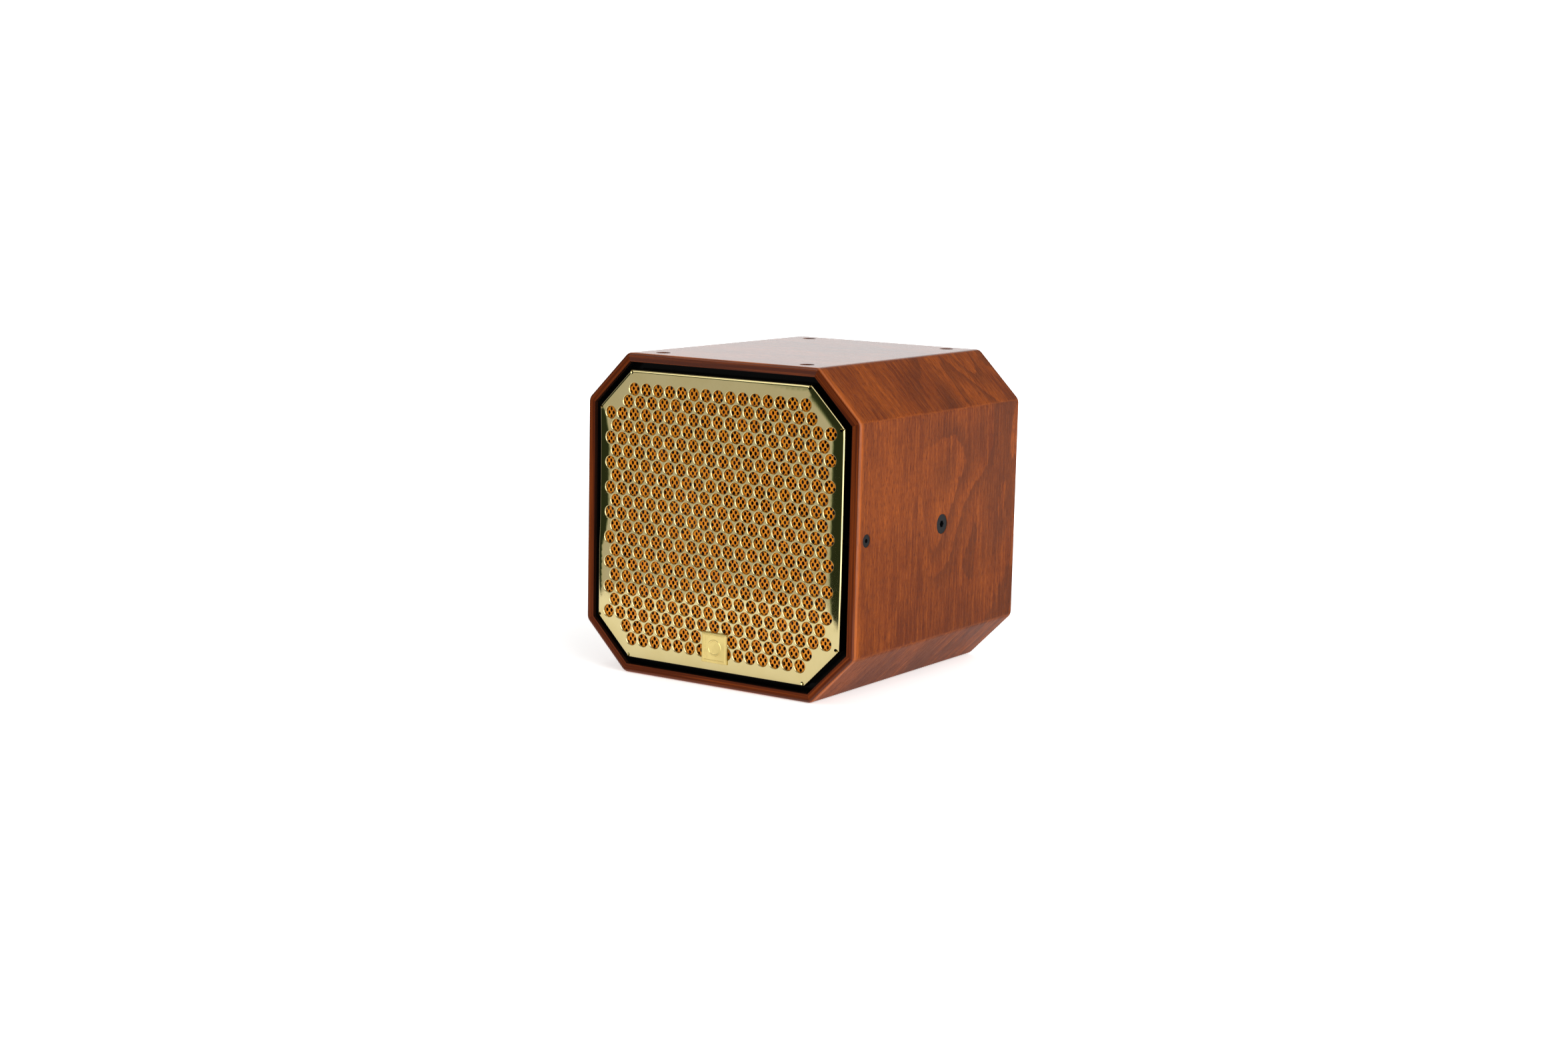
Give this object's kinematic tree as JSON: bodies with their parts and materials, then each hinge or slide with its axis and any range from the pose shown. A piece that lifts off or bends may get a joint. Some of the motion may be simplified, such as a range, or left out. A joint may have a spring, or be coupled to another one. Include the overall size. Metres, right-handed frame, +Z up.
{
  "type": "horn loudspeaker",
  "caption": "Compact coaxial horn loudspeaker in an octagonal veneered cabinet with a perforated brass grille, sprung cone, crossover and rear input sockets.",
  "frame": {"origin": "centre of the cabinet's bottom face", "axes": "+Z up, the grille faces -Y, +X to the right seen from the front"},
  "size_m": [0.2, 0.1932, 0.2],
  "materials": {
    "veneered_plywood": "satin lacquer",
    "black_board": "black paint",
    "bare_wood": "sanded",
    "brass_sheet": "polished",
    "badge_brass": "brushed",
    "knitted_mesh": "knitted",
    "black_steel": "black oxide",
    "plated_steel": "zinc plated",
    "gasket_rubber": "closed cell",
    "cast_frame": "black powder coat",
    "surround_rubber": "satin",
    "cone_paper": "pressed pulp",
    "spider_cloth": "treated cotton",
    "former_foil": "rolled",
    "copper_wire": "enamelled",
    "ferrite": "sintered",
    "black_plastic": "moulded",
    "diaphragm_foil": "formed foil",
    "plate_paint": "black anodised",
    "contact_metal": "tinned",
    "circuit_board": "glass laminate",
    "capacitor_film": "wrapped film",
    "resistor_body": "fired",
    "lead_jacket": "satin"
  },
  "bodies": {
    "cabinet": {"right_panel": "veneered_plywood", "corner_panel_top_right": "veneered_plywood", "top_panel": "veneered_plywood", "corner_panel_top_left": "veneered_plywood", "left_panel": "veneered_plywood", "corner_panel_bottom_left": "veneered_plywood", "bottom_panel": "veneered_plywood", "corner_panel_bottom_right": "veneered_plywood", "front_baffle": "black_board", "rear_panel": "black_board", "rear_cleats": "bare_wood", "grille": "brass_sheet", "badge": "badge_brass", "grille_cloth": "knitted_mesh", "grille_spacers": "black_steel", "grille_screws": "black_steel", "side_blanking_screws": "black_steel", "woofer_screws": "black_steel", "rear_panel_screws": "black_steel", "input_plate_screws": "black_steel", "top_rigging_inserts": "black_steel", "bottom_rigging_inserts": "black_steel", "grille_nuts": "plated_steel", "side_rigging_inserts": "plated_steel", "woofer_tee_nuts": "plated_steel", "top_plate": "plated_steel", "pole_piece": "plated_steel", "hf_pole_plate": "plated_steel", "hf_top_plate": "plated_steel", "hf_screws": "plated_steel", "board_screws": "plated_steel", "socket_screws": "plated_steel", "woofer_gasket": "gasket_rubber", "basket": "cast_frame", "inductors": "copper_wire", "magnet": "ferrite", "hf_magnet": "ferrite", "horn": "black_plastic", "phase_plug": "black_plastic", "hf_mounting_ring": "black_plastic", "hf_rear_cover": "black_plastic", "board_spacers": "black_plastic", "input_socket": "black_plastic", "link_socket": "black_plastic", "terminal_block": "black_plastic", "input_plate": "plate_paint", "socket_contacts": "contact_metal", "crossover_board": "circuit_board", "capacitors": "capacitor_film", "resistors": "resistor_body", "input_lead": "lead_jacket", "woofer_lead": "lead_jacket", "hf_lead": "lead_jacket"},
    "cone_assembly": {"surround": "surround_rubber", "cone": "cone_paper", "spider": "spider_cloth", "coil_former": "former_foil", "voice_coil": "copper_wire"},
    "hf_moving_system": {"hf_diaphragm": "diaphragm_foil", "hf_coil": "copper_wire"}
  },
  "joints": [
    {"name": "cone_stroke", "type": "slide", "parent": "cabinet", "child": "cone_assembly", "axis": [0, -1, 0], "range_m": [-0.004, 0.004], "stiffness_N_per_m": 1800, "deforming": ["surround", "spider"]},
    {"name": "hf_stroke", "type": "slide", "parent": "cabinet", "child": "hf_moving_system", "axis": [0, -1, 0], "range_m": [-0.0003, 0.0003], "stiffness_N_per_m": 4000}
  ]
}
